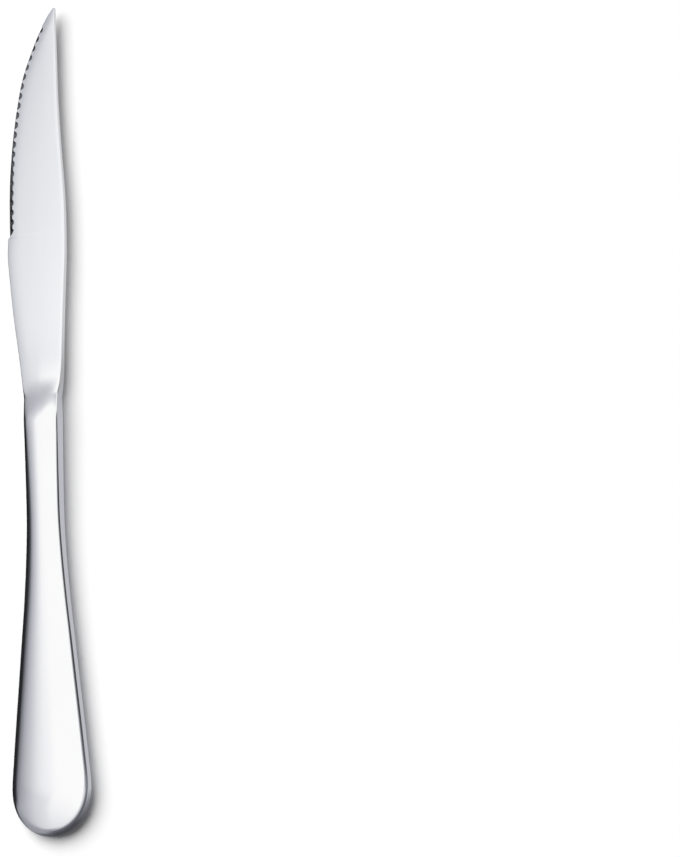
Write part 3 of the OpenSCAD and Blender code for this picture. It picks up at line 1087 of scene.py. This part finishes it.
@dataclass
class Studio:
    """Pale floor, soft light and the camera. Lengths are in metres.

    A round screen, a roof and a card on the table are there for the steel to reflect. Their tones
    run over shares of the screen's height. Names in _y, _x and _z hold the shares of its radius
    or height, or for the card the metres, between which one tone passes into the next.
    """

    knife: Knife
    image: tuple[int, int] = (680, 857)
    tilt_side: float = 17.0
    tilt_down: float = 17.0
    roll: float = 1.786
    scale: float = 0.272044e-3
    centre_px: Row = (43.184, 418.97)
    lens: float = 499.83
    sensor: float = 36.0
    floor_half: float = 6.0
    sky: float = 0.14
    key: float = 3.2
    key_spread: float = 66.0
    key_lean: Row = (-0.42, 0.38)
    screen_r: float = 0.3
    screen_h: float = 0.9
    screen_steps: int = 96
    roof_share: float = 1.1
    roof_skew: float = 0.5
    card_z: float = 0.0002
    ceiling: Rows = ((0, 0.78), (0.13, 0.84), (0.275, 0.92), (0.4, 0.96), (0.5, 1), (1, 1))
    left_tones: Rows = (
        (0, 0.04), (0.12, 0.02), (0.25, 0.015), (0.313, 0.1), (0.373, 0.35), (0.447, 0.49), (0.58, 0.65),
        (0.713, 0.8), (0.847, 0.89), (0.973, 0.97), (1, 1))
    left_least: float = 0.13
    left_scale: float = 1.5
    right_tones: Rows = (
        (0, 0.2), (0.15, 0.2), (0.25, 0.27), (0.35, 0.4), (0.45, 0.55), (0.6, 0.69), (0.8, 0.86), (1, 0.93))
    back_tones: Rows = (
        (0, 0.3), (0.19, 0.46), (0.26, 0.5), (0.34, 0.6), (0.38, 0.64), (0.43, 0.72), (0.48, 0.81),
        (0.54, 0.92), (0.6, 1), (0.7, 1), (1, 1))
    right_back_tones: Rows = ((0, 0.85), (0.3, 0.95), (0.6, 1), (1, 1))
    front_tones: Rows = (
        (0, 0.1), (0.12, 0.13), (0.2, 0.25), (0.3, 0.5), (0.42, 0.68), (0.7, 0.78), (1, 0.84))
    corner_tones: Rows = (
        (0, 0.32), (0.2, 0.33), (0.35, 0.36), (0.43, 0.41), (0.5, 0.47), (0.55, 0.535), (0.65, 0.64),
        (0.7, 0.675), (1, 0.8))
    table_tones: Rows = (
        (0, 0.52), (0.03, 0.44), (0.11, 0.25), (0.2, 0.16), (0.31, 0.07), (0.5, 0.07), (0.61, 0.14),
        (0.69, 0.3), (0.77, 0.33), (0.835, 0.25), (0.91, 0.04), (1, 0.02))
    # Painted shadow: card tones beside the knife, standing in for the shaded floor that the side walls reflect.
    shadow_beside_handle: Point = (0.36, 0.36, 0.365)
    shadow_beside_blade: Point = (0.62, 0.62, 0.63)
    left_foot: Point = (0.02, 0.02, 0.022)
    blade_foot: Point = (0.15, 0.15, 0.155)
    neck_foot: Point = (0.05, 0.05, 0.052)
    foot_z: Row = (0.13, 0.27)
    blade_foot_y: Row = (0.4, 0.5)
    far_left_y: Row = (0.42, 0.7)
    far_left_z: Row = (0.05, 0.16)
    neck_foot_y: Row = (-0.05, 0.15)
    neck_foot_z: Row = (0.12, 0.3)
    right_back_y: Row = (0.26, 0.32)
    sides_x: Row = (-0.3, 0.3)
    back_y: Row = (0.55, 0.9)
    corner_x: Row = (-0.4, -0.1)
    front_y: Row = (-0.28, -0.46)
    front_lean: float = 0.75
    shadow_zone_x: Row = (-0.001, 0.001)
    shadow_zone_y: Row = (-0.002, 0.02)
    blade_shadow_y: Row = (0.008, 0.03)

    def camera(self) -> None:
        """Places the camera with a long lens, aimed at the middle of the image."""
        side, down, roll = (math.radians(v) for v in (self.tilt_side, self.tilt_down, self.roll))
        back = Vector((math.sin(side) * math.cos(down), -math.sin(down), math.cos(side) * math.cos(down)))
        level = (Vector((0, 1, 0)) - back * back.y).normalized()
        across = level.cross(back)
        right = across * math.cos(roll) - level * math.sin(roll)
        up = across * math.sin(roll) + level * math.cos(roll)
        width, height = self.image
        target = Vector((0, 0, self.knife.lift.z))
        target += right * ((width / 2 - self.centre_px[0]) * self.scale)
        target += up * ((self.centre_px[1] - height / 2) * self.scale)
        distance = height * self.scale * self.lens / self.sensor
        data = bpy.data.cameras.new("camera")
        data.lens, data.sensor_width = self.lens, self.sensor
        data.clip_start, data.clip_end = 0.1, 4 * distance
        eye = bpy.data.objects.new("camera", data)
        bpy.context.scene.collection.objects.link(eye)
        turn = Matrix((right, up, back)).transposed().to_4x4()
        eye.matrix_world = Matrix.Translation(target + back * distance) @ turn
        bpy.context.scene.camera = eye

    def world(self) -> None:
        """A plain sky that lights softly and shows white."""
        world = bpy.data.worlds.new("studio_sky")
        bpy.context.scene.world = world
        book = NodeBook(world)
        level = self.sky + book.seen() * (1 - self.sky)
        book.surface("ShaderNodeBackground", {"Color": (1, 1, 1, 1), "Strength": level}, "ShaderNodeOutputWorld")

    def floor(self) -> None:
        """A pale table top that keeps the knife's shadow."""
        table = Sheet(flat(self.floor_half, 0)).piece("table_top")
        book = NodeBook(bpy.data.materials.new("table_paper"))
        pale = book.blend(book.seen(), (0.8, 0.8, 0.8), (1.0, 1.0, 1.0))
        book.surface("ShaderNodeBsdfDiffuse", {"Color": pale})
        table.data.materials.append(book.owner)

    def screen_tones(self, book: NodeBook) -> Wire:
        """Tones of the round screen, which is dark at its foot and white at its top.

        Args:
            book: The tree to write in.

        Returns:
            The colour.
        """
        x, y, z = book.axes()
        x, y, z = x / self.screen_r, y / self.screen_r, z / self.screen_h
        foot = book.blend(y.ramped(*self.blade_foot_y), self.left_foot, self.blade_foot)
        left = book.toned((z + y.most(self.left_least)) / self.left_scale, self.left_tones)
        right, right_back, back, front, corner = (book.toned(z, stops) for stops in (
            self.right_tones, self.right_back_tones, self.back_tones, self.front_tones, self.corner_tones))
        left = book.blend(z.ramped(*self.foot_z), foot, left)
        far_left = book.blend(z.ramped(*self.far_left_z), foot, back)
        left = book.blend(y.ramped(*self.far_left_y), left, far_left)
        near_neck = y.ramped(*self.neck_foot_y) * (1 - z.ramped(*self.neck_foot_z))
        right = book.blend(near_neck, right, self.neck_foot)
        right = book.blend(y.ramped(*self.right_back_y), right, right_back)
        sides = book.blend(x.ramped(*self.sides_x), left, right)
        behind = book.blend(y.ramped(*self.back_y), sides, back)
        before = book.blend(x.ramped(*self.corner_x), corner, front)
        return book.blend((y - z * self.front_lean).ramped(*self.front_y), behind, before)

    def roof_tones(self, book: NodeBook) -> Wire:
        """Tones of the roof, a little darker at its front left."""
        x, y, _ = book.axes()
        return book.toned((x * self.roof_skew + y) / (2 * self.screen_r) + 0.5, self.ceiling)

    def card_tones(self, book: NodeBook) -> Wire:
        """Tones of the table card, which is dark at the knife's left and front, and painted shadow beside the knife's
        right side.

        Args:
            book: The tree to write in.

        Returns:
            The colour.
        """
        x, y, _ = book.axes()
        butt = self.knife.lift.y + self.knife.handle.butt_y * MM
        below = (y - butt).least(-1e-6)
        tones = book.toned(below.angle(x) * (-1 / math.pi), self.table_tones)
        # Painted shadow beside the knife, as the steel sees the shaded floor.
        painted_shadow_zone = x.ramped(*self.shadow_zone_x) * y.ramped(*self.shadow_zone_y)
        table = book.blend(y.ramped(*self.blade_shadow_y), self.shadow_beside_handle, self.shadow_beside_blade)
        return book.blend(painted_shadow_zone, tones, table)

    def glow(self, name: str, sections: list[Section], tones: Callable[[NodeBook], Wire]) -> None:
        """Makes a stage prop that glows in its tones and that only the steel reflects.

        Args:
            name: Name of the prop.
            sections: Its form.
            tones: The method that writes its tones.
        """
        prop = Sheet(sections).piece(name)
        book = NodeBook(bpy.data.materials.new(f"{name}_cloth"))
        book.surface("ShaderNodeEmission", {"Color": tones(book), "Strength": 1.0})
        prop.data.materials.append(book.owner)
        for ray in ("camera", "diffuse", "transmission", "shadow"):
            setattr(prop, f"visible_{ray}", False)

    def lamp(self) -> None:
        """A broad key light from the upper left, which gives the soft shadow."""
        data = bpy.data.lights.new("key_light", "SUN")
        data.energy = self.key
        data.angle = math.radians(self.key_spread)
        lamp = bpy.data.objects.new("key_light", data)
        bpy.context.scene.collection.objects.link(lamp)
        lamp.rotation_euler = Vector((*self.key_lean, 1)).to_track_quat("Z", "Y").to_euler()
        lamp.visible_glossy = False

    def build(self) -> None:
        """Sets up the table, the screens, the light and the camera."""
        bpy.context.scene.view_settings.view_transform = "Standard"
        self.world()
        self.floor()
        radius, height = self.screen_r / MM, self.screen_h / MM
        turns = spaced(0, 2 * math.pi, self.screen_steps)
        drum = [[(radius * math.sin(turn), radius * math.cos(turn), z) for z in (0, height)] for turn in turns]
        self.glow("round_screen", drum, self.screen_tones)
        self.glow("roof_sheet", flat(self.roof_share * self.screen_r, self.screen_h), self.roof_tones)
        self.glow("table_card", flat(self.screen_r, self.card_z), self.card_tones)
        self.lamp()
        self.camera()


def main() -> None:
    """Builds the knife and its studio."""
    knife = Knife()
    Studio(knife).build()
    knife.build_blade()
    knife.build_handle()
    knife.dress_cement()
    bpy.context.view_layer.update()


if __name__ == "__main__":
    main()
